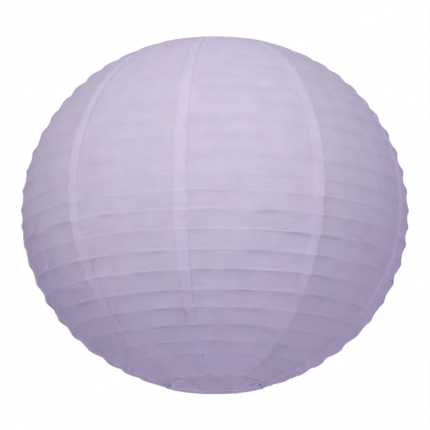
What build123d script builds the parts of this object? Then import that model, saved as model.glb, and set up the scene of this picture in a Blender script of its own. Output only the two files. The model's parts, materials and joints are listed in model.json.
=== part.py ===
from build123d import *
import math
import os

# Round paper lantern, open and stretched by its wire expander. Sizes are in mm.
# +Z is up, -Y is the front. The origin is the centre of the hanging loop.
# Names ending in _H are heights above the widest part of the lantern.

os.makedirs("parts", exist_ok=True)

# ---------------------------------------------------------------- body shape
LANTERN_R = 200.0          # outside radius of the paper at the widest part
CROWN_HALF = 186.6         # half height of the ellipse the upper half follows
BELLY_HALF = 183.5         # half height of the ellipse the lower half follows
CAP_FROM_H = 139.0         # above this height the crown sits lower than its ellipse,
CAP_TO_H = 173.0           # and from this height up it is lower by the whole of
CAP_FLAT = 2.0             # this much

# ---------------------------------------------------------------- rings and hoops
RING_R = 48.6              # centreline radius of the top and bottom opening rings
RING_WIRE_R = 1.0
TOP_RING_H = 175.2
BOTTOM_RING_H = -177.7

HOOP_WIRE_R = 0.4          # thin rib wire glued inside the paper
HOOP_GAP = 0.08            # glue line between rib wire and paper

# heights of the rib hoops, from the crown down to the belly; hand-wound, so not quite even
HOOP_H = [
    173.0, 166.9, 158.9, 149.4, 139.0, 126.1, 112.7, 99.0, 81.4, 62.0, 42.9, 22.9, 3.4,
    -13.6, -32.0, -51.7, -71.3, -89.6, -107.8, -123.5, -138.2, -151.8, -161.2, -168.8, -174.3,
]

# ---------------------------------------------------------------- paper
PAPER_T = 0.2
HEM_CLEAR = 0.08           # ring wire to the paper wrapped round it
HEM_FLAP = 9.0             # length of hem turned back and glued inside
HEM_FLAP_INSET = 0.45      # free end of the flap to the sheet, between mid-thicknesses
HEM_SIDES = 9              # corners of the wrap round the ring wire

# seams between the gores, degrees round +Z from +X; hand-laid, so not quite even
SEAMS = [-59.5, -19.3, 20.9, 61.1, 101.3, 141.5, 181.7, 222.0, 258.1]
EDGE_DEG = 0.02            # daylight between two gore edges under a lap
STEP_DEG = 0.25            # width of the fold that lifts the lap over its neighbour
STEP_BACK_DEG = 0.1        # the fold ends this far before the seam
LAP_LEAD_DEG = 0.1         # the lap starts this far before the fold
LAP_DEG = 3.2              # width of the lap past the seam, over the next gore's edge
LAP_GAP = 0.03             # glue line inside a lap seam
LAP_SETBACK = 2.0          # lap end to the place where the sheet leaves a ring

# ---------------------------------------------------------------- wire expander
# _X values are distances from the lantern's axis
FRAME_WIRE_R = 1.1         # spring wire
BEND_R = 1.5               # bend radius of the wire
NOTCH_ANGLE = 50.0         # the notch jaws open this far from horizontal
NOTCH_ARM = 5.5            # length of one jaw
NOTCH_X = 45.27            # sharp corner of the notch
LEG_X = 45.3               # straight run of a leg,
LEG_SETBACK = 10.0         # which stops this far short of each ring's height
SHOULDER_X = 41.5          # corner between the top notch and the crossbar,
SHOULDER_RISE = 0.6        # above the tip of the upper jaw
BAR_END_X = 36.0           # outer end of the crossbar
BAR_DROP = 7.5             # crossbar below the top ring
LOOP_R = 6.0               # hanging loop, centreline
NECK_R = 2.2               # small bends where the loop leaves the crossbar
NECK_X = 3.9               # centres of those bends

# ---------------------------------------------------------------- heights in the model
neck_rise = math.sqrt((NECK_R + LOOP_R) ** 2 - NECK_X ** 2)   # neck centres to loop centre
WIDEST_Z = -(TOP_RING_H - BAR_DROP + NECK_R + neck_rise)
TOP_RING_Z = WIDEST_Z + TOP_RING_H
BOTTOM_RING_Z = WIDEST_Z + BOTTOM_RING_H


def save(part, name):
    part.label = name
    export_step(part, f"parts/{name}.step")


# ---------------------------------------------------------------- lines in the (r, z) plane
def paper_radius(height):
    """Outside radius of the paper at a height above the widest part."""
    half = CROWN_HALF if height > 0 else BELLY_HALF
    cap_share = min(1.0, max(0.0, (height - CAP_FROM_H) / (CAP_TO_H - CAP_FROM_H)))
    return LANTERN_R * math.sqrt(1.0 - ((height + CAP_FLAT * cap_share) / half) ** 2)


def direction(start, end):
    length = math.hypot(end[0] - start[0], end[1] - start[1])
    return ((end[0] - start[0]) / length, (end[1] - start[1]) / length)


def polar(centre, radius, angle):
    return (centre[0] + radius * math.cos(angle), centre[1] + radius * math.sin(angle))


def shifted(path, amount):
    """The path moved sideways by amount, to the right of its direction, with sharp corners."""
    moved = []
    for i, point in enumerate(path):
        before = direction(path[i - 1], point) if i > 0 else direction(point, path[i + 1])
        after = direction(point, path[i + 1]) if i < len(path) - 1 else before
        # the right-hand normals of the two runs, added, give the mitre direction
        mitre = 1.0 + before[0] * after[0] + before[1] * after[1]
        moved.append((
            point[0] + amount * (before[1] + after[1]) / mitre,
            point[1] - amount * (before[0] + after[0]) / mitre,
        ))
    return moved


def strip(path, low, high):
    """Closed outline between two sideways shifts of a path."""
    return shifted(path, low) + list(reversed(shifted(path, high)))


def tangent_angle(point, centre, radius, side):
    """Angle on a circle where the line from point touches it; side +1 is counter-clockwise."""
    dr = point[0] - centre[0]
    dz = point[1] - centre[1]
    return math.atan2(dz, dr) + side * math.acos(radius / math.hypot(dr, dz))


def wrap_corners(centre, radius, start, end):
    """Corners of a many-sided wrap outside a circle, from angle start to end."""
    half = (end - start) / HEM_SIDES / 2
    corner_r = radius / math.cos(half)
    return [polar(centre, corner_r, start + half * (2 * i + 1)) for i in range(HEM_SIDES)]


def hem(ring_z, nearest_hoop, side):
    """Path from the flap's free end round a ring; side is +1 at the top ring, -1 at the bottom.

    Also returns the point where the sheet leaves the ring and the point where the lap ends.
    """
    centre = (RING_R, ring_z)
    radius = RING_WIRE_R + HEM_CLEAR + PAPER_T / 2
    leave_angle = tangent_angle(nearest_hoop, centre, radius, side)
    leave = polar(centre, radius, leave_angle)
    run = direction(leave, nearest_hoop)
    inward = (side * run[1], -side * run[0])
    flap_end = (
        leave[0] + run[0] * HEM_FLAP + inward[0] * HEM_FLAP_INSET,
        leave[1] + run[1] * HEM_FLAP + inward[1] * HEM_FLAP_INSET,
    )
    flap_angle = tangent_angle(flap_end, centre, radius, -side)
    # take the long way, round the far side of the wire
    while side * (flap_angle - leave_angle) < 0:
        flap_angle += side * 2 * math.pi
    path = [flap_end] + wrap_corners(centre, radius, flap_angle, leave_angle)
    lap_end = (leave[0] + LAP_SETBACK * run[0], leave[1] + LAP_SETBACK * run[1])
    return path, leave, lap_end


# mid-thickness of the paper at each hoop, then the whole sheet:
# flap, round the top ring, down over every hoop, round the bottom ring, flap
half_t = PAPER_T / 2
corners = [(paper_radius(height) - half_t, WIDEST_Z + height) for height in HOOP_H]
top_hem, top_leave, top_lap_end = hem(TOP_RING_Z, corners[0], +1)
bottom_hem, bottom_leave, bottom_lap_end = hem(BOTTOM_RING_Z, corners[-1], -1)
sheet = top_hem + corners + list(reversed(bottom_hem))
lap = [top_lap_end] + corners + [bottom_lap_end]

# walking down the sheet, the outside is on the left, so outward shifts are negative
lap_inner = half_t + LAP_GAP
sheet_outline = strip(sheet, half_t, -half_t)
step_outline = strip(lap, 0.0, -(lap_inner + half_t))
lap_outline = strip(lap, -lap_inner, -(lap_inner + PAPER_T))


# ---------------------------------------------------------------- paper gores
def half_plane(degrees):
    """Plane through the lantern's axis at this angle; local x is r, local y is z."""
    a = math.radians(degrees)
    return Plane(
        origin=(0, 0, 0),
        x_dir=(math.cos(a), math.sin(a), 0),
        z_dir=(math.sin(a), -math.cos(a), 0),
    )


def make_gore(name, seam, next_seam):
    """The sheet between two seams, the fold at its far edge, and the lap past that edge."""
    step_start = next_seam - STEP_BACK_DEG - STEP_DEG
    lap_arc = LAP_LEAD_DEG + STEP_DEG + STEP_BACK_DEG + LAP_DEG
    bands = [
        # outline, start angle, arc
        (sheet_outline, seam + EDGE_DEG, next_seam - seam - EDGE_DEG),
        (step_outline, step_start, STEP_DEG),
        (lap_outline, step_start - LAP_LEAD_DEG, lap_arc),
    ]
    with BuildPart() as gore:
        for outline, start, arc in bands:
            with BuildSketch(half_plane(start)):
                with BuildLine():
                    Polyline(*outline, close=True)
                make_face()
            revolve(axis=Axis.Z, revolution_arc=arc)
    save(gore.part, name)


# ---------------------------------------------------------------- rings and rib hoops
def make_ring(name, radius, z, wire_r):
    with BuildPart() as ring:
        with Locations((0, 0, z)):
            Torus(major_radius=radius, minor_radius=wire_r)
    save(ring.part, name)


def make_hoops():
    """One hoop inside each corner of the sheet."""
    inset = HOOP_WIRE_R + HOOP_GAP + half_t
    centres = shifted([top_leave] + corners + [bottom_leave], inset)[1:-1]
    for i, (radius, z) in enumerate(centres, start=1):
        make_ring(f"rib_hoop_{i:02d}", radius, z, HOOP_WIRE_R)


# ---------------------------------------------------------------- wire expander
BAR_Z = TOP_RING_Z - BAR_DROP


def side_points(side):
    """Half of the wire from free tip to crossbar, as (x, z); side is -1 left, +1 right."""
    jaw_x = NOTCH_X + NOTCH_ARM * math.cos(math.radians(NOTCH_ANGLE))
    jaw_z = NOTCH_ARM * math.sin(math.radians(NOTCH_ANGLE))
    points = [
        (jaw_x, BOTTOM_RING_Z - jaw_z),
        (NOTCH_X, BOTTOM_RING_Z),
        (jaw_x, BOTTOM_RING_Z + jaw_z),
        (LEG_X, BOTTOM_RING_Z + LEG_SETBACK),
        (LEG_X, TOP_RING_Z - LEG_SETBACK),
        (jaw_x, TOP_RING_Z - jaw_z),
        (NOTCH_X, TOP_RING_Z),
        (jaw_x, TOP_RING_Z + jaw_z),
        (SHOULDER_X, TOP_RING_Z + jaw_z + SHOULDER_RISE),
        (BAR_END_X, BAR_Z),
        (NECK_X, BAR_Z),
    ]
    return [(side * x, z) for x, z in points]


def make_expander():
    """One bent wire: up the left side, round the loop, and down the right side."""
    neck_z = BAR_Z + NECK_R
    neck_inner_x = NECK_X - NECK_R
    loop_top = (0, neck_z + neck_rise + LOOP_R)
    # where the neck bends run into the loop
    meet = math.atan2(neck_rise, NECK_X)
    touch_x = NECK_X - NECK_R * math.cos(meet)
    touch_z = neck_z + NECK_R * math.sin(meet)
    with BuildPart() as expander:
        with BuildLine(Plane.XZ) as path:
            FilletPolyline(*side_points(-1), radius=BEND_R)
            ThreePointArc((-NECK_X, BAR_Z), (-neck_inner_x, neck_z), (-touch_x, touch_z))
            ThreePointArc((-touch_x, touch_z), loop_top, (touch_x, touch_z))
            ThreePointArc((touch_x, touch_z), (neck_inner_x, neck_z), (NECK_X, BAR_Z))
            FilletPolyline(*reversed(side_points(1)), radius=BEND_R)
        with BuildSketch(Plane(origin=path.line @ 0, z_dir=path.line % 0)):
            Circle(FRAME_WIRE_R)
        sweep(path=path.line)
    save(expander.part, "wire_expander")


# ---------------------------------------------------------------- build
next_seams = SEAMS[1:] + [SEAMS[0] + 360.0]
for i, (seam, next_seam) in enumerate(zip(SEAMS, next_seams), start=1):
    make_gore(f"paper_gore_{i}", seam, next_seam)
make_hoops()
make_ring("top_ring", RING_R, TOP_RING_Z, RING_WIRE_R)
make_ring("bottom_ring", RING_R, BOTTOM_RING_Z, RING_WIRE_R)
make_expander()
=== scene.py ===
"""A round lavender tissue-paper lantern: nine paper gores glued over wire hoops, each gore's ends
wrapped round a wire ring at the top and the bottom.

Metres, +Z up. The lantern's axis is the Z axis, and the camera looks at it from -Y, a little
from below. Angles round the lantern run from +X towards +Y. A meridian is drawn in the (r, z)
plane, and its paths run downwards on the lantern's outside.
"""
import json
import math
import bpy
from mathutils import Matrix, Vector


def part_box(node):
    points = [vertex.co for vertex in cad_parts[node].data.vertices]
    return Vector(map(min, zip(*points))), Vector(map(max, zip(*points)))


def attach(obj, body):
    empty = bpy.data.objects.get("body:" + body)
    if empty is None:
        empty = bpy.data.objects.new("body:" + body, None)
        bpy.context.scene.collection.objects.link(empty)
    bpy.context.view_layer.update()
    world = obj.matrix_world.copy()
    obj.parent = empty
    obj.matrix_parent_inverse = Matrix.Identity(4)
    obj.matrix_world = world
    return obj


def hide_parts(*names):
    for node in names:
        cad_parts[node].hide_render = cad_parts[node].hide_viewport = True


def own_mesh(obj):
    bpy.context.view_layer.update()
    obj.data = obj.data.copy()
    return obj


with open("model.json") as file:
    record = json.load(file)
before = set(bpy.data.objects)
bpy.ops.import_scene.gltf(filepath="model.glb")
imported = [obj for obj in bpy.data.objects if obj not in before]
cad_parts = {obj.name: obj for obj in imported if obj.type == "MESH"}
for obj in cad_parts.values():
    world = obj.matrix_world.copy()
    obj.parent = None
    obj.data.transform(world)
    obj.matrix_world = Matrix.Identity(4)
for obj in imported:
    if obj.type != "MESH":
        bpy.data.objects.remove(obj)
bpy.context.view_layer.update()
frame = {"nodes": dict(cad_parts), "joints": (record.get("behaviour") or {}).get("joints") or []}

from types import SimpleNamespace

import bpy
import numpy as np
from mathutils import Vector

MM = 0.001


# ------------------------------------------------------------------ sizes of the wire frame
def wire_circle(name):
    """Radius, height and wire radius of a horizontal wire circle of the frame."""
    lo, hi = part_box(name)
    wire = (hi.z - lo.z) / 2
    return hi.x - wire, (hi.z + lo.z) / 2, wire


HOOPS = sorted(name for name in frame["nodes"] if name.startswith("rib_hoop_"))
HOOP_R, HOOP_Z, hoop_wires = zip(*(wire_circle(name) for name in HOOPS))
HOOP_WIRE = hoop_wires[-1]
RING_R, TOP_Z, RING_WIRE = wire_circle("top_ring")
BOTTOM_Z = wire_circle("bottom_ring")[1]

# share of its height the shell keeps when folded flat
fold = next(joint for joint in frame["joints"] if joint["name"] == "shell_fold")
TRAVEL = max(abs(v) for v in fold["range_m"])

# the plain ball that the lantern follows
EQ_Z = HOOP_Z[int(np.argmax(HOOP_R))] - 3.4 * MM    # height of the widest part
BALL_R = 0.2
CROWN_HALF = 0.186                                  # half height above the widest part
BELLY_HALF = 0.1835                                 # half height below it

# ------------------------------------------------------------------ sizes of the paper
# seams between the gores, degrees
SEAMS = [-60.1, -19.3, 20.9, 61.1, 101.2, 141.4, 181.6, 221.8, 257.9]
GORES = len(SEAMS)
LAP_DEG = 3.8                # width of the overlap at a seam
HEM_LAP_DEG = LAP_DEG * 1.6  # width of the overlap at a hem
COLS_DEG = 1.15              # column spacing of a gore's mesh
PAPER_T = 0.16 * MM
EDGE_THIN = 0.15             # share of the thickness left at the side edges
GLUE = 0.10 * MM
LAP_RISE = 0.25 * MM         # how far a lap stands off the gore under it
RIDGE = 0.20 * MM            # ridge pressed into the sheet by a hoop
EDGE_IN = 2.4 * MM           # from the roll to the sheet's own end, under the hem's outer leaf
EDGE_SINK = 0.05 * MM        # how far that end lies inside the leaf's line
TUCKED = 4.4 * MM            # part of the sheet that counts as under the hem
ROLL_GAP = 0.2 * MM          # space between the roll and the sheet's line
ROLL_MARGIN = 0.15 * MM      # seen from above, the roll's edge with a little to spare
LEAF = 6.6 * MM              # length of a hem's outer leaf
FLAP = 9.0 * MM              # length of a hem's inner flap
FLAP_DROP = 0.62 * MM        # the flap's end below the sheet's line
UV_PER_METRE = 10.0
HEM_UV_R = 0.06              # radius used to lay a hem flat

# rows of the mesh between two hoops, as shares of the span
SPAN_T = np.array([0, .028, .075, .135, .2, .27, .345, .42, .5, .58, .655, .73, .8, .865,
                   .925, .972])


# ------------------------------------------------------------------ small helpers
def unit(v):
    return v / np.linalg.norm(v)


def outward_of(along):
    """Outward normal of a path that runs down the lantern's outside."""
    return np.array([-along[1], along[0]])


def mean_outward(before, at, after):
    """Outward normal at a corner of such a path."""
    return unit(outward_of(unit(at - before)) + outward_of(unit(after - at)))


def tangent_angle(point, centre, radius, side):
    """Angle on a circle at which the tangent through a point touches it."""
    d = point - centre
    return math.atan2(d[1], d[0]) + side * math.acos(radius / np.linalg.norm(d))


def smooth(x):
    x = np.clip(x, 0, 1)
    return x * x * (3 - 2 * x)


def loose(z):
    """The upper half hangs smooth and taut; below the widest part the sheet is looser."""
    return float(smooth((EQ_Z + 0.035 - z) / 0.07))


def snug(z):
    """Near the bottom ring the bays are narrow and flat again, so the ribs hardly show."""
    return float(smooth((EQ_Z - 0.112 - z) / 0.04))


class Wave:
    """Smooth random function of the angle round the lantern, about -1 to 1."""

    def __init__(self, rng, lowest, highest):
        self.turns = np.arange(lowest, highest + 1)
        count = len(self.turns)
        self.height = rng.normal(size=count) / np.sqrt(count) * 0.9
        self.phase = rng.uniform(0, 2 * np.pi, count)

    def __call__(self, theta):
        return (self.height * np.cos(theta[..., None] * self.turns + self.phase)).sum(-1)


def link_object(name, data):
    obj = bpy.data.objects.new(name, data)
    bpy.context.scene.collection.objects.link(obj)
    return obj


def revolve(meridian, theta):
    """Turns (r, z) points in an array (rows, cols, 2) to each column's angle."""
    r, z = meridian[:, :, 0], meridian[:, :, 1]
    return np.stack([r * np.cos(theta), r * np.sin(theta), z], 2)


def flat_uv(across, down):
    return np.stack(np.broadcast_arrays(across[None, :], down[:, None]), 2) * UV_PER_METRE


def ball_normal(points):
    """Outward direction of the plain ball at each point."""
    x, y, height = points[:, :, 0], points[:, :, 1], points[:, :, 2] - EQ_Z
    half = np.where(height > 0, CROWN_HALF, BELLY_HALF)
    out = np.stack([x / BALL_R ** 2, y / BALL_R ** 2, height / half ** 2], 2)
    return out / np.linalg.norm(out, axis=2, keepdims=True)


def grid_mesh(name, points, uv, attributes, outward):
    """Thin closed sheet on a grid of points (rows, cols, 3), with its own outer and inner skin.

    Its ball_normal attribute is kept for the paper's shading."""
    rows, cols = points.shape[:2]
    normal = np.cross(np.gradient(points, axis=1), np.gradient(points, axis=0))
    normal /= np.maximum(np.linalg.norm(normal, axis=2, keepdims=True), 1e-12)
    flip = np.mean(np.sum(normal * outward, axis=2)) < 0
    if flip:
        normal = -normal
    half = np.full((rows, cols, 1), PAPER_T / 2)
    half[:, [0, -1]] *= EDGE_THIN          # deckled edges, pressed thin by the glue
    outer = points + normal * half
    inner = points - normal * half
    verts = np.concatenate([outer.reshape(-1, 3), inner.reshape(-1, 3)])

    skin_size = rows * cols
    index = np.arange(skin_size).reshape(rows, cols)
    corners = [index[:-1, :-1], index[:-1, 1:], index[1:, 1:], index[1:, :-1]]
    if flip:
        corners = [corners[i] for i in (0, 3, 2, 1)]
    skin = np.stack([corner.ravel() for corner in corners], 1)
    back = skin[:, ::-1] + skin_size

    def edge(start, end):
        quads = np.stack([end, start, start + skin_size, end + skin_size], 1)
        return quads[:, ::-1] if flip else quads

    faces = np.concatenate([
        skin, back,
        edge(index[0, :-1], index[0, 1:]), edge(index[-1, 1:], index[-1, :-1]),
        edge(index[1:, 0], index[:-1, 0]), edge(index[:-1, -1], index[1:, -1]),
    ]).astype(np.int32)

    mesh = bpy.data.meshes.new(name)
    mesh.vertices.add(len(verts))
    mesh.vertices.foreach_set("co", verts.astype(np.float32).ravel())
    mesh.loops.add(faces.size)
    mesh.loops.foreach_set("vertex_index", faces.ravel())
    mesh.polygons.add(len(faces))
    mesh.polygons.foreach_set("loop_start", np.arange(0, faces.size, 4, dtype=np.int32))
    mesh.polygons.foreach_set("use_smooth", np.ones(len(faces), bool))
    mesh.update(calc_edges=True)

    layer = mesh.uv_layers.new(name="sheet")
    both_uv = np.concatenate([uv.reshape(-1, 2), uv.reshape(-1, 2)])
    layer.data.foreach_set("uv", both_uv[faces.ravel()].astype(np.float32).ravel())
    for key, value in attributes.items():
        attribute = mesh.attributes.new(key, "FLOAT", "POINT")
        flat = np.broadcast_to(value, (rows, cols)).reshape(-1)
        attribute.data.foreach_set("value", np.concatenate([flat, flat]).astype(np.float32))
    attribute = mesh.attributes.new("ball_normal", "FLOAT_VECTOR", "POINT")
    ball = ball_normal(points).reshape(-1, 3)
    attribute.data.foreach_set("vector", np.concatenate([ball, -ball]).astype(np.float32).ravel())
    mesh.set_sharp_from_angle(angle=math.radians(62))
    mesh.validate()
    return link_object(name, mesh)


# ------------------------------------------------------------------ the meridian of the paper
# corners lie just outside each hoop; the sheet sags a little between them
chain = np.array([(RING_R, TOP_Z), *zip(HOOP_R, HOOP_Z), (RING_R, BOTTOM_Z)])
STAND_OFF = HOOP_WIRE + GLUE + PAPER_T / 2
corner = np.array([
    chain[i] + mean_outward(chain[i - 1], chain[i], chain[i + 1]) * STAND_OFF
    for i in range(1, len(chain) - 1)])


def hem_path(end, body, ring_z, first, side):
    """Where the sheet leaves a ring towards its first corner; side is 1 at the top, -1 below."""
    centre = np.array([RING_R, ring_z])
    radius = RING_WIRE + GLUE + PAPER_T / 2
    leave = tangent_angle(first, centre, radius + ROLL_GAP, side)
    start = centre + (radius + ROLL_GAP) * np.array([math.cos(leave), math.sin(leave)])
    along = unit(first - start)
    out = np.array([-side * along[1], side * along[0]])
    return SimpleNamespace(end=end, body=body, ring_z=ring_z, side=side, centre=centre,
                           radius=radius, leave=leave, start=start, along=along, out=out)


HEMS = (hem_path("top", "crown", TOP_Z, corner[0], 1),
        hem_path("bottom", "belly_ring", BOTTOM_Z, corner[-1], -1))
top_end, bottom_end = (hem.start + hem.along * EDGE_IN - hem.out * EDGE_SINK for hem in HEMS)
SHEET = np.vstack([top_end, corner, bottom_end])
SPANS = len(SHEET) - 1
PITCH = np.linalg.norm(np.diff(SHEET, axis=0), axis=1)
ARC = np.concatenate([[0], np.cumsum(PITCH)])

# ------------------------------------------------------------------ random sag and creases
rng = np.random.default_rng(40)


def waves(count, lowest, highest):
    return [Wave(rng, lowest, highest) for _ in range(count)]


sag_wave = waves(SPANS, 2, 26)
sag_fine = waves(SPANS, 20, 90)
skew_wave = waves(SPANS, 2, 22)
ripple_wave = waves(SPANS, 12, 60)
line_wave = waves(SPANS + 1, 2, 9)


def span_radius(k):
    return (SHEET[k, 0] + SHEET[k + 1, 0]) / 2


def span_creases(k):
    """Short creases left by the folding, each a small ridge or groove round the lantern.

    One entry per crease: angle, share of the span, half length (radians), width, height, tilt."""
    z_mid = (SHEET[k, 1] + SHEET[k + 1, 1]) / 2 - EQ_Z
    radius = span_radius(k)
    low = 1.0 / (1.0 + math.exp((z_mid + 0.01) / 0.025))    # creases gather low down
    count = int((0.30 + 0.95 * low) * radius / 0.2 * 46)
    angle = rng.uniform(0, 2 * np.pi, count)
    share = np.clip(rng.beta(1.3, 1.3, count), 0.1, 0.9)
    half = rng.uniform(5, 20, count) * MM / radius
    width = rng.uniform(0.95, 1.7, count) * MM
    height = rng.normal(0, 1, count)
    height = np.sign(height) * (0.12 + 0.17 * np.abs(height)) * MM * (0.22 + 0.98 * low)
    tilt = rng.normal(0, 0.07, count)
    return list(zip(angle, share, half, width, height, tilt))


CREASES = [span_creases(k) for k in range(SPANS)]


def crease_height(k, theta, t):
    """Height of the creases of span k at share t, for each angle."""
    total = np.zeros_like(theta)
    radius = span_radius(k)
    first, last = theta.min(), theta.max()
    for angle, share, half, width, height, tilt in CREASES[k]:
        for turn in (-2 * np.pi, 0, 2 * np.pi):
            middle = angle + turn
            if middle + half < first or middle - half > last:
                continue
            x = (theta - middle) / half
            along = np.where(np.abs(x) < 1, (1 - x * x) ** 2, 0)
            y = ((t - share) * PITCH[k] - tilt * (theta - middle) * radius) / width
            total += height * along * np.exp(-0.5 * y * y)
    return total


# ------------------------------------------------------------------ the nine paper gores
def seam_degrees(i):
    """The seams at the start and the end of gore i."""
    turn = 360.0 if i == GORES - 1 else 0.0
    return SEAMS[i], SEAMS[(i + 1) % GORES] + turn


def gore_columns(i):
    """Angles of a gore's columns, with how each lies in the laps at its two edges."""
    deg = math.radians
    start_deg, end_deg = seam_degrees(i)
    start, end, lap = deg(start_deg), deg(end_deg), deg(LAP_DEG)
    middle_cols = max(8, int(round((end_deg - start_deg - LAP_DEG) / COLS_DEG)))
    theta = np.concatenate([
        [start + deg(0.05)],
        np.linspace(start + deg(0.9), start + lap - deg(0.8), 3),
        start + lap + np.array([-deg(0.07), deg(0.07)]),
        np.linspace(start + lap + deg(0.9), end - deg(1.1), middle_cols),
        end + np.radians([-0.45, -0.2, -0.02, 0.12]),
        np.linspace(end + deg(0.95), end + lap - deg(0.5), 3),
        [end + lap],
    ])
    over = smooth((theta - (end - deg(0.2))) / deg(0.3))
    under = (theta < start + lap).astype(float)    # this gore's edge, under its neighbour's lap

    def hump(seam):
        return np.exp(-0.5 * ((theta - seam - lap * 0.45) / (lap * 0.42)) ** 2)

    return SimpleNamespace(
        theta=theta, over=over, under=under,
        rise=smooth((theta - (end - deg(0.45))) / deg(0.45)),
        give=1 - 0.30 * np.clip(over + under, 0, 1),    # two glued layers sag less
        ridge=hump(end) + hump(start))


def span_steps(k):
    """Shares of span k that carry a row; the last row of all closes the sheet."""
    if k == 0:
        return np.append([0.0], SPAN_T[2:])
    if k == SPANS - 1:
        return np.append(SPAN_T, 1.0)
    return SPAN_T


def row_lift(k, t, cols, slack, creased, wire_wave):
    """How far a row stands outside the straight line between two hoops, and its wire distance."""
    theta = cols.theta
    at_end = 0.35 if k in (0, SPANS - 1) else 1.0
    depth = 0.084 * min(PITCH[k], 0.023) * at_end
    free = 0.30 + 0.70 * slack                     # the taut upper half sags evenly
    bow = np.sin(math.pi * t) ** 0.9
    uneven = 1 + free * (0.38 * sag_wave[k](theta) + 0.16 * sag_fine[k](theta))
    sag = depth * np.clip(uneven, 0.25, 1.9) * bow * cols.give
    sag = sag + depth * 0.30 * free * skew_wave[k](theta) * math.sin(2 * math.pi * t)
    sag = sag + depth * 0.10 * free * ripple_wave[k](theta) * math.sin(3 * math.pi * t)
    lift = -sag + creased
    lift = lift + 0.12 * MM * cols.ridge * bow
    lift = lift + cols.rise * LAP_RISE
    # the wire presses a narrow ridge into the sheet from inside
    reach = min(t if k > 0 else 1.0, (1 - t) if k < SPANS - 1 else 1.0) * PITCH[k]
    lift = lift + RIDGE * math.exp(-(reach / (1.5 * MM)) ** 2) * (0.75 + 0.25 * wire_wave)
    return lift, reach


def is_tucked(k, t):
    """Whether a row lies under a hem's leaf."""
    from_top = k == 0 and t * PITCH[k] < TUCKED
    from_bottom = k == SPANS - 1 and (1 - t) * PITCH[k] < TUCKED
    return 1.0 if from_top or from_bottom else 0.0


def gore(i):
    """One gore's sheet from the top hem to the bottom hem."""
    cols = gore_columns(i)
    theta = cols.theta
    meridian, arc, crest, tucked, marks, slacks, line = [], [], [], [], [], [], []
    for k in range(SPANS):
        upper, lower = SHEET[k], SHEET[k + 1]
        for t in span_steps(k):
            place = upper + (lower - upper) * t
            slack, flat = loose(place[1]), snug(place[1])
            wire_wave = line_wave[k if t < 0.5 else k + 1](theta)
            creased = crease_height(k, theta, t) * min(1.0, 6 * t, 6 * (1 - t))
            lift, reach = row_lift(k, t, cols, slack, creased, wire_wave)
            out = outward_of(unit(lower - upper))
            if t == 0 and k > 0:
                # at a hoop the two spans' outward directions differ; the lift is along their mean
                out = mean_outward(SHEET[k - 1], upper, lower)
                lift = cols.rise * LAP_RISE + RIDGE * (0.75 + 0.25 * wire_wave)
            meridian.append(np.stack([place[0] + out[0] * lift, place[1] + out[1] * lift], 1))
            arc.append(ARC[k] + t * PITCH[k])
            marks.append(np.clip(np.abs(creased) / (0.12 * MM), 0, 1)
                         * (0.25 + 0.75 * slack) * (1 - 0.6 * flat))
            # crest: the band over each wire; it sets the share of the sheet's own normal and a
            # painted highlight
            crest.append(math.exp(-(reach / (1.9 * MM)) ** 2)
                         * (0.12 + 0.88 * slack) * (1 - 0.72 * flat))
            # painted highlight: a thin pale line painted along each wire, stronger in the looser
            # lower half
            line.append(math.exp(-(reach / (1.0 * MM)) ** 2)
                        * (0.05 + 1.05 * slack) * (1 - 0.4 * flat)
                        * np.clip(0.75 + 0.8 * wire_wave, 0, 1.6))
            slacks.append(slack)
            tucked.append(is_tucked(k, t))
    points = revolve(np.array(meridian), theta)
    outward = points.copy()
    outward[:, :, 2] -= EQ_Z
    lap_fade = 0.4 + 0.6 * smooth((points[:, :, 2] - EQ_Z + 0.128) / 0.045)
    attributes = {
        "lap": cols.over * lap_fade,
        "under": np.clip(cols.under + np.array(tucked)[:, None], 0, 1),
        "crest": np.array(crest)[:, None],
        "crease": np.array(marks),
        "loose": np.array(slacks)[:, None],
        "line": np.array(line),
        "sheet_id": i / GORES,
    }
    uv = flat_uv(theta * BALL_R, np.array(arc))
    return grid_mesh(f"gore_{i + 1}_sheet", points, uv, attributes, outward)


# ------------------------------------------------------------------ hems round the two rings
def hem_columns(i):
    """Angles of a hem's columns, and how far each lies over the next gore's hem."""
    deg = math.radians
    start, end = map(deg, seam_degrees(i))
    theta = np.concatenate([
        np.linspace(start + deg(0.1), end - deg(0.9), 20),
        end + np.radians([-0.3, 0.15]),
        np.linspace(end + deg(1.2), end + deg(HEM_LAP_DEG), 5)])
    return theta, smooth((theta - (end - deg(0.8))) / deg(0.8))


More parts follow.
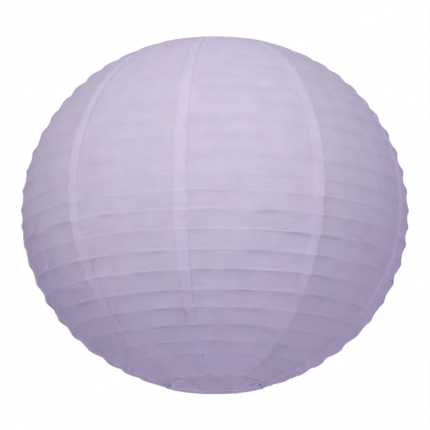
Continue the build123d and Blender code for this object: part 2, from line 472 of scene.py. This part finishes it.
def hem_section(theta, over, seed, path):
    """Rows of (r, z) points of a gore's end: its outer leaf, its roll round the ring with a short
    tongue on each side, and its inner flap."""
    hem_rng = np.random.default_rng(seed)
    side, start, along, out = path.side, path.start, path.along, path.out
    cut = Wave(hem_rng, 4, 30)(theta)
    gather = Wave(hem_rng, 30, 120)(theta)
    leaf = LEAF + 0.35 * MM * cut
    flap = FLAP + 0.6 * MM * Wave(hem_rng, 4, 30)(theta)
    lift = PAPER_T + GLUE
    roll_edge = path.centre[0] + path.radius + ROLL_MARGIN
    # where the leaf is clear of the roll seen from above
    clear = (roll_edge - start[0]) / along[0]

    def on_leaf(distance, drop=0.0):
        rise = lift - drop + over * LAP_RISE * 0.8 + 0.05 * MM * gather * (distance / leaf)
        return start + np.outer(distance, along) + out * rise[:, None]

    leaf_rows = [on_leaf(leaf * q + clear * (1 - q)) for q in (1.0, 0.78, 0.5, 0.25, 0.1, 0.0)]
    roll_rows = [on_leaf(np.full_like(theta, clear * q), 0.13 * MM * q)
                 for q in (1.45, 1.1, 0.75, 0.4, 0.12)]

    flap_end = start + along * FLAP - out * FLAP_DROP
    leave = path.leave
    back = tangent_angle(flap_end, path.centre, path.radius, -side)
    while side * (back - leave) < 0:
        back += side * 2 * math.pi
    for angle in np.linspace(leave, back, 13):
        left = 1 - abs(angle - leave) / abs(back - leave)
        radius = (path.radius + lift * smooth(left * 1.6) + over * LAP_RISE * 0.7
                  + 0.03 * MM * gather)
        direction = np.array([math.cos(angle), math.sin(angle)])
        roll_rows.append(path.centre + radius[:, None] * direction)
    last = roll_rows[-1]

    def on_flap(q):
        point = last * (1 - q) + flap_end * q
        point = last + (point - last) * (flap / FLAP)[:, None]
        return point - out * (over * LAP_RISE * 0.2)[:, None]

    inner = (roll_edge - last[0, 0]) / (flap_end[0] - last[0, 0])
    roll_rows += [on_flap(inner * q) for q in (0.4, 0.8, 1.2)]
    flap_rows = [on_flap(inner + (1 - inner) * q) for q in (0.0, 0.3, 0.65, 1.0)]
    return {"leaf": leaf_rows, "roll": roll_rows, "flap": flap_rows}


# where each part starts along the sheet in UV, whether it is soaked with glue, and how much
# painted light makes it paler
HEM_LOOKS = {
    "leaf": dict(first=0.0, under=0.0, pale=0.0),
    # painted light: the roll's shaded underside is painted much paler than the sheet
    "roll": dict(first=0.01, under=0.0, pale=6.0),
    "flap": dict(first=0.02, under=1.0, pale=0.0),
}


def hem_part(i, path, part):
    """One part of a gore's end: the leaf outside the sheet, the roll, or the flap inside it."""
    theta, over = hem_columns(i)
    seed = 700 + i * 2 + (path.side > 0)
    rows = np.array(hem_section(theta, over, seed, path)[part])
    look = HEM_LOOKS[part]
    points = revolve(rows, theta)
    ring_line = revolve(np.broadcast_to(path.centre, (1, len(theta), 2)), theta)
    uv = flat_uv(theta * HEM_UV_R, look["first"] + np.linspace(0, 0.025, len(rows)))
    attributes = {
        "lap": 0.5 * over, "under": look["under"], "crest": 0.0, "crease": 0.0, "loose": 0.0,
        "line": look["pale"], "sheet_id": i / GORES,
    }
    name = f"gore_{i + 1}_{path.end}_hem_{part}"
    return grid_mesh(name, points, uv, attributes, points - ring_line)


# ------------------------------------------------------------------ ribs
def hoop(k):
    """One rib: drawn wire bent to a ring, its ends meeting in a short soldered overlap."""
    hoop_rng = np.random.default_rng(900 + k)
    sides, around = 8, 288
    theta = np.linspace(0, 2 * np.pi, around, endpoint=False)
    joint = hoop_rng.uniform(0, 2 * np.pi)
    gap = np.abs((theta - joint + np.pi) % (2 * np.pi) - np.pi) * HOOP_R[k]
    solder = 0.10 * MM * np.exp(-(gap / (5 * MM)) ** 2)
    wander = 0.05 * MM * Wave(hoop_rng, 3, 9)(theta)
    section = np.linspace(0, 2 * np.pi, sides, endpoint=False)
    wire = (HOOP_WIRE + solder - 0.02 * MM)[:, None]
    r = HOOP_R[k] + wander[:, None] * 0.4 + wire * np.cos(section)
    z = HOOP_Z[k] + (HOOP_WIRE - 0.01 * MM) * np.sin(section) * np.ones((around, 1))
    verts = revolve(np.stack([r, z], 2), theta[:, None]).reshape(-1, 3)
    i, j = np.meshgrid(np.arange(around), np.arange(sides), indexing="ij")
    next_i, next_j = (i + 1) % around, (j + 1) % sides
    faces = np.stack([i * sides + j, next_i * sides + j,
                      next_i * sides + next_j, i * sides + next_j], 2).reshape(-1, 4)
    name = f"rib_{k + 1:02d}"
    mesh = bpy.data.meshes.new(name)
    mesh.from_pydata(verts.tolist(), [], faces.tolist())
    mesh.polygons.foreach_set("use_smooth", np.ones(len(faces), bool))
    return link_object(name, mesh)


# ------------------------------------------------------------------ node trees
class Tree:
    """The emptied node tree of a material or world, with short calls that fill it."""

    def __init__(self, owner):
        owner.use_nodes = True
        self.nodes, self.links = owner.node_tree.nodes, owner.node_tree.links
        self.nodes.clear()

    def add(self, kind, inputs=None, **settings):
        """Adds a node; an input is given a value or linked from a socket."""
        node = self.nodes.new("ShaderNode" + kind)
        for key, value in settings.items():
            setattr(node, key, value)
        for key, value in (inputs or {}).items():
            if isinstance(value, bpy.types.NodeSocket):
                self.links.new(value, node.inputs[key])
            else:
                node.inputs[key].default_value = value
        return node

    def attribute(self, name, output="Fac"):
        return self.add("Attribute", attribute_name=name).outputs[output]

    def math(self, operation, first, second):
        return self.add("Math", {0: first, 1: second}, operation=operation).outputs[0]

    def vector_math(self, operation, *inputs, output="Vector"):
        node = self.add("VectorMath", dict(enumerate(inputs)), operation=operation)
        return node.outputs[output]

    def add_scaled(self, total, layers):
        """Adds each (value, gain) of the layers to a total."""
        for value, gain in layers:
            total = self.math("ADD", total, self.math("MULTIPLY", value, gain))
        return total

    def remap(self, value, old, new):
        node = self.add("MapRange", {
            "Value": value, "From Min": old[0], "From Max": old[1],
            "To Min": new[0], "To Max": new[1]}, clamp=True)
        return node.outputs["Result"]

    def noise(self, vector, scale, detail, roughness=0.5, output="Fac"):
        node = self.add("TexNoise", {
            "Vector": vector, "Scale": scale, "Detail": detail, "Roughness": roughness})
        return node.outputs[output]

    def stretched(self, vector, scale):
        return self.add("Mapping", {"Vector": vector, "Scale": scale}).outputs["Vector"]

    def colour_ramp(self, value, stops, interpolation="LINEAR"):
        """stops: (position, rgb) in rising order."""
        node = self.add("ValToRGB", {"Fac": value})
        node.color_ramp.interpolation = interpolation
        elements = node.color_ramp.elements
        while len(elements) < len(stops):
            elements.new(0.5)
        # every position is set before any colour
        for element, (position, _) in zip(elements, stops):
            element.position = position
        for element, (_, rgb) in zip(elements, stops):
            element.color = (*rgb, 1)
        return node.outputs["Color"]

    def mix(self, data_type, factor, first, second):
        node = self.add("Mix", data_type=data_type)
        for key, value in (("Factor", factor), ("A", first), ("B", second)):
            if isinstance(value, bpy.types.NodeSocket):
                self.links.new(value, node.inputs[key])
            else:
                node.inputs[key].default_value = value
        return node.outputs["Result"]

    def mix_shader(self, factor, first, second):
        return self.add("MixShader", {"Fac": factor, 1: first, 2: second}).outputs[0]

    def bump(self, height, strength, distance, **normal):
        node = self.add("Bump", {
            "Height": height, "Strength": strength, "Distance": distance, **normal})
        return node.outputs["Normal"]


def new_material(name):
    material = bpy.data.materials.new(name)
    return material, Tree(material)


# ------------------------------------------------------------------ the paper's material
PAPER_RGB = (0.700, 0.632, 0.805)    # light thrown back by the sheet
GLOW_RGB = (0.740, 0.635, 0.890)     # light let through it
SOAKED_RGB = (0.97, 0.955, 0.985)    # light let through a glued edge
# share of the sheet's own normal in the shading: of the sag, at the wires, on the creases
SAG_SHARE, WIRE_SHARE, MARK_SHARE = 0.0, 0.19, 0.36
# each gore is its own sheet, a tone lighter or darker than the next; the two gores facing the
# camera are lightest and the gores beside them darker, which is painted shade
GORE_TONE_AND_SIDE_SHADE = [0.935, 0.955, 0.97, 0.94, 0.965, 0.945, 0.95, 0.985, 1.0]


def paper_layers(tree):
    """Coordinates, mesh attributes and textures shared by the paper's colour and relief."""
    position = tree.add("TexCoord").outputs["Object"]
    uv = tree.add("UVMap", uv_map="sheet").outputs["UV"]
    # cloudy pulp: how thick the tissue is from place to place
    cloud = tree.noise(position, scale=55.0, detail=5.0, roughness=0.62)
    # long pulp fibres
    warp = tree.noise(position, scale=130.0, detail=2.0, output="Color")
    warped = tree.vector_math("MULTIPLY_ADD", warp, (0.010, 0.010, 0.010), position)
    cells = tree.add("TexVoronoi", feature="DISTANCE_TO_EDGE")
    cells.inputs["Scale"].default_value = 210.0
    tree.links.new(warped, cells.inputs["Vector"])
    fibre = tree.remap(cells.outputs["Distance"], old=(0.0, 0.05), new=(1.0, 0.0))
    return SimpleNamespace(
        position=position, uv=uv, cloud=cloud, fibre=fibre,
        **{name: tree.attribute(name) for name in ("lap", "crest", "under", "crease", "loose")})


def paper_tint(tree, layers):
    """Returns a function that gives a colour the paper's tone and stains, painted shade on the
    side gores, painted highlights along the wires and painted light on the hem rolls.
    """
    # painted shade: the gores beside the front ones are darkened through their tone
    tones = [(max(0.0, i / GORES - 0.02), (tone,) * 3) for i, tone in enumerate(GORE_TONE_AND_SIDE_SHADE)]
    tone = tree.colour_ramp(tree.attribute("sheet_id"), tones, interpolation="CONSTANT")
    # painted highlight: a thin pale line along each wire and a lighter crest over it; painted
    # light makes the rolls round the rings paler still
    glued = tree.attribute("line")
    shade = tree.remap(layers.cloud, old=(0.3, 0.7), new=(0.975, 1.02))
    shade = tree.add_scaled(shade, (
        (layers.fibre, 0.03), (layers.lap, 0.038), (layers.crest, 0.018), (glued, 0.035)))
    # a lap shows two sheets, so it takes no tone and no painted shade of its own
    gore_tone_and_side_shade = tree.mix("RGBA", layers.lap, tone, (1, 1, 1, 1))
    # the dye took unevenly: broad, faint patches, some pinker, some bluer
    dye = tree.noise(layers.position, scale=17.0, detail=2.5)
    blush = tree.colour_ramp(dye, [(0.36, (0.984, 0.998, 1.0)), (0.64, (1.0, 0.988, 0.992))])

    def tinted(rgb):
        shaded = tree.add("VectorMath", {0: rgb, "Scale": shade}, operation="SCALE")
        toned = tree.vector_math("MULTIPLY", shaded.outputs["Vector"], gore_tone_and_side_shade)
        return tree.vector_math("MULTIPLY", toned, blush)

    return tinted


def paper_relief(tree, layers):
    """Height of the grain, fibres, crinkles and fold marks."""
    grain = tree.noise(layers.position, scale=900.0, detail=3.0)
    # fine crinkles that run round the lantern, stretched along u
    crinkle = tree.noise(tree.stretched(layers.uv, scale=(2.2, 34.0, 1.0)),
                         scale=5.0, detail=4.0, roughness=0.55)
    crinkle_gain = tree.remap(layers.loose, old=(0.0, 1.0), new=(0.25, 0.9))
    # short sharp fold marks that run round the lantern, mostly below the widest part
    contour = tree.noise(tree.stretched(layers.uv, scale=(1.0, 7.0, 1.0)), scale=5.0, detail=1.5)
    off = tree.math("ABSOLUTE", tree.math("SUBTRACT", contour, 0.5), 0.0)
    line = tree.remap(off, old=(0.0, 0.035), new=(1.0, 0.0))
    where = tree.noise(layers.position, scale=26.0, detail=1.0)
    gate = tree.remap(where, old=(0.52, 0.60), new=(0.0, 1.0))
    some = tree.remap(layers.loose, old=(0.0, 1.0), new=(0.22, 1.0))
    dashes = tree.math("MULTIPLY", tree.math("MULTIPLY", line, gate), some)
    return tree.add_scaled(tree.math("MULTIPLY", grain, 0.10), (
        (layers.fibre, 0.10), (crinkle, crinkle_gain), (dashes, 0.55)))


def paper_normal(tree, layers):
    """Light spreads inside the tissue, which softens the shading of the sag between two ribs;
    where the sheet is folded well away from the ball its own normal is used."""
    to_world = tree.add("VectorTransform", {"Vector": tree.attribute("ball_normal", "Vector")},
                        vector_type="NORMAL", convert_from="OBJECT", convert_to="WORLD")
    ball = to_world.outputs["Vector"]
    own = tree.add("NewGeometry").outputs["Normal"]
    facing = tree.vector_math("DOT_PRODUCT", own, ball, output="Value")
    away = tree.remap(facing, old=(0.80, 0.64), new=(0.0, 1.0))
    share = tree.add_scaled(tree.math("MULTIPLY", layers.crest, WIRE_SHARE), (
        (layers.crease, MARK_SHARE), (layers.loose, SAG_SHARE)))
    keep_own = tree.math("MINIMUM", tree.math("MAXIMUM", away, share), 1.0)
    return tree.vector_math("NORMALIZE", tree.mix("VECTOR", keep_own, ball, own))


def paper_material():
    material, tree = new_material("lavender_tissue_paper")
    layers = paper_layers(tree)
    tinted = paper_tint(tree, layers)
    normal = tree.bump(paper_relief(tree, layers), strength=0.55, distance=0.0005,
                       Normal=paper_normal(tree, layers))
    body = tree.add("BsdfPrincipled", {
        "Base Color": tinted(PAPER_RGB),
        "Roughness": 0.82,
        "Specular IOR Level": 0.25,
        "Sheen Weight": 0.12,
        "Sheen Roughness": 0.6,
        "Normal": normal,
    })
    soaked = tree.mix("RGBA", layers.under, tinted(GLOW_RGB), (*SOAKED_RGB, 1))
    glow = tree.add("BsdfTranslucent", {"Color": soaked, "Normal": normal})
    through = tree.remap(layers.cloud, old=(0.3, 0.7), new=(0.465, 0.415))
    # a glued edge under its neighbour is soaked and nearly clear
    through = tree.math("MAXIMUM", through, tree.math("MULTIPLY", layers.under, 0.93))
    surface = tree.mix_shader(through, body.outputs["BSDF"], glow.outputs["BSDF"])
    tree.add("OutputMaterial", {"Surface": surface})
    return material


# ------------------------------------------------------------------ the wires' materials
def wire_material(name, rgb, metallic, rough, coat_rgb=None, wear=0.0):
    """Blotched drawn wire, with a coat that is worn through in places if coat_rgb is given."""
    material, tree = new_material(name)
    position = tree.add("TexCoord").outputs["Object"]
    blot = tree.noise(position, scale=160.0, detail=6.0, roughness=0.7)
    drawn = tree.noise(position, scale=2600.0, detail=2.0)
    dull = tuple(c * 0.72 for c in rgb)
    colour = tree.colour_ramp(blot, [(0.32, dull), (0.66, rgb)])
    if coat_rgb is not None:
        metallic = tree.remap(blot, old=(0.62, 0.70), new=(0.0, wear))
        colour = tree.mix("RGBA", metallic, (*coat_rgb, 1), colour)
    body = tree.add("BsdfPrincipled", {
        "Base Color": colour,
        "Metallic": metallic,
        "Roughness": tree.remap(blot, old=(0.3, 0.7), new=(rough + 0.12, rough - 0.06)),
        "Normal": tree.bump(drawn, strength=0.35, distance=0.00006),
    })
    tree.add("OutputMaterial", {"Surface": body.outputs["BSDF"]})
    return material


paper = paper_material()
rib = wire_material("coated_rib_wire", rgb=(0.55, 0.55, 0.57), metallic=0.0, rough=0.46,
                    coat_rgb=(0.70, 0.65, 0.78), wear=0.6)
ring = wire_material("ring_wire", rgb=(0.62, 0.62, 0.63), metallic=1.0, rough=0.30)
spring = wire_material("spring_wire", rgb=(0.66, 0.66, 0.68), metallic=1.0, rough=0.24)


# ------------------------------------------------------------------ building the lantern
def joined(parts, name):
    """Makes one object of several."""
    with bpy.context.temp_override(active_object=parts[0], selected_editable_objects=parts,
                                   selected_objects=parts):
        bpy.ops.object.join()
    parts[0].name = name
    parts[0].data.name = name
    return parts[0]


def dress(obj, material):
    obj.data.materials.clear()
    obj.data.materials.append(material)


def fold_towards(obj, z):
    """Gives the object a mesh of its own; the height z is not used."""
    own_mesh(obj)


for i in range(GORES):
    sheet = gore(i)
    dress(sheet, paper)
    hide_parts(f"paper_gore_{i + 1}")
    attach(sheet, "crown")
    fold_towards(sheet, TOP_Z)
    for path in HEMS:
        roll = hem_part(i, path, "roll")
        dress(roll, paper)
        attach(roll, path.body)
        # the roll stays on its ring, and so do the glued leaf and flap
        layers = [hem_part(i, path, part) for part in ("leaf", "flap")]
        for layer in layers:
            dress(layer, paper)
        glued = joined(layers, f"gore_{i + 1}_{path.end}_hem")
        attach(glued, path.body)
        fold_towards(glued, path.ring_z)

for k, name in enumerate(HOOPS):
    wire = hoop(k)
    dress(wire, rib)
    # the wires are too thin to darken the tissue in soft daylight
    wire.visible_shadow = False
    wire.visible_diffuse = False
    wire.visible_transmission = False
    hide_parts(name)
    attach(wire, name.replace("rib_hoop", "hoop"))
    fold_towards(wire, HOOP_Z[k])

for name in ("top_ring", "bottom_ring"):
    dress(frame["nodes"][name], ring)
dress(frame["nodes"]["wire_expander"], spring)

# ------------------------------------------------------------------ floor
FLOOR_Z = EQ_Z - 2.3
FLOOR_SIZE = 60


def floor_material():
    material, tree = new_material("pale_floor")
    position = tree.add("TexCoord").outputs["Object"]
    mottle = tree.noise(position, scale=3.0, detail=6.0)
    grey = tree.colour_ramp(mottle, [(0.0, (0.80,) * 3), (1.0, (0.84,) * 3)])
    body = tree.add("BsdfPrincipled", {"Base Color": grey, "Roughness": 0.9})
    # the camera sees the floor a little paler than it is, and not at all from underneath
    camera_ray = tree.add("LightPath").outputs["Is Camera Ray"]
    pale = tree.add("Emission", {
        "Color": (0.86, 0.90, 0.84, 1),
        "Strength": tree.math("MULTIPLY", camera_ray, 0.40)})
    both = tree.add("AddShader", {0: body.outputs["BSDF"], 1: pale.outputs["Emission"]})
    clear = tree.add("BsdfTransparent")
    underside = tree.add("NewGeometry").outputs["Backfacing"]
    hidden = tree.math("MULTIPLY", underside, camera_ray)
    surface = tree.mix_shader(hidden, both.outputs["Shader"], clear.outputs["BSDF"])
    tree.add("OutputMaterial", {"Surface": surface})
    return material


bpy.ops.mesh.primitive_grid_add(x_subdivisions=40, y_subdivisions=40, size=FLOOR_SIZE,
                                location=(0, 0, FLOOR_Z))
floor = bpy.context.object
floor.name = "floor"
dress(floor, floor_material())

# ------------------------------------------------------------------ world
AMBIENT = (0.553, 0.517, 0.587)    # fills the shadows
BACKDROP = (1, 1, 1)               # seen by the camera


def background(tree, rgb):
    node = tree.add("Background", {"Color": (*rgb, 1), "Strength": 1.0})
    return node.outputs["Background"]


world = bpy.data.worlds.new("studio")
bpy.context.scene.world = world
sky = Tree(world)
camera_ray = sky.add("LightPath").outputs["Is Camera Ray"]
surface = sky.mix_shader(camera_ray, background(sky, AMBIENT), background(sky, BACKDROP))
sky.add("OutputWorld", {"Surface": surface})

# ------------------------------------------------------------------ lights
MIDDLE = Vector((0, 0, EQ_Z))

# kind, azimuth and elevation in degrees, distance and size in metres, watts of red, green, blue;
# azimuth 0 is on the -Y side, where the camera is, and grows towards +X
LIGHTS = {
    "key": ("AREA", -14, 30, 3.0, 1.6, (51.5, 54.3, 39.3)),
    "front": ("AREA", 0, 6, 3.2, 1.4, (18.2, 23.9, 16.2)),
    "top": ("AREA", 0, 78, 2.2, 1.6, (1.6, 3.2, 2.1)),
    "right": ("AREA", 78, 4, 3.0, 1.6, (11.4, 11.0, 11.2)),
    "back": ("AREA", 172, 26, 3.0, 2.0, (14.0, 15.0, 10.0)),
    "low_back": ("AREA", 180, -30, 2.6, 1.6, (0.6, 0.6, 4.9)),
    "inside": ("POINT", 0, -90, 0.05, 0.12, (0.37, 0.40, 0.27)),
}


def aim_at_middle(obj, direction, distance):
    """Places an object out along a direction, looking back at the lantern's middle."""
    obj.location = MIDDLE + direction * distance
    obj.rotation_mode = "QUATERNION"
    obj.rotation_quaternion = direction.to_track_quat("Z", "Y")


def add_light(name, kind, azimuth, elevation, distance, size, rgb):
    data = bpy.data.lights.new(name, kind)
    if kind == "POINT":
        data.shadow_soft_size = size / 2
    else:
        data.shape = "SQUARE"
        data.size = size
    power = max(rgb)
    data.energy = power
    data.color = tuple(c / power for c in rgb)
    a, e = math.radians(azimuth), math.radians(elevation)
    direction = Vector((math.sin(a) * math.cos(e), -math.cos(a) * math.cos(e), math.sin(e)))
    light = link_object(name, data)
    aim_at_middle(light, direction, distance)
    light.visible_camera = False


for name, settings in LIGHTS.items():
    add_light(name, *settings)

# ------------------------------------------------------------------ camera
scene = bpy.context.scene
scene.view_settings.view_transform = "Standard"
scene.view_settings.look = "None"

CAMERA_ELEVATION = math.radians(-11.3)
CAMERA_DISTANCE = 6.0
VIEW_WIDTH = 0.4442002    # width of the view at the lantern's middle
SENSOR_MM = 36.0

camera_data = bpy.data.cameras.new("camera")
camera = link_object("camera", camera_data)
camera_data.sensor_width = SENSOR_MM
camera_data.lens = SENSOR_MM * CAMERA_DISTANCE / VIEW_WIDTH
camera_data.clip_start = 0.05
camera_data.clip_end = 200.0
to_camera = Vector((0, -math.cos(CAMERA_ELEVATION), math.sin(CAMERA_ELEVATION)))
aim_at_middle(camera, to_camera, CAMERA_DISTANCE)
scene.camera = camera
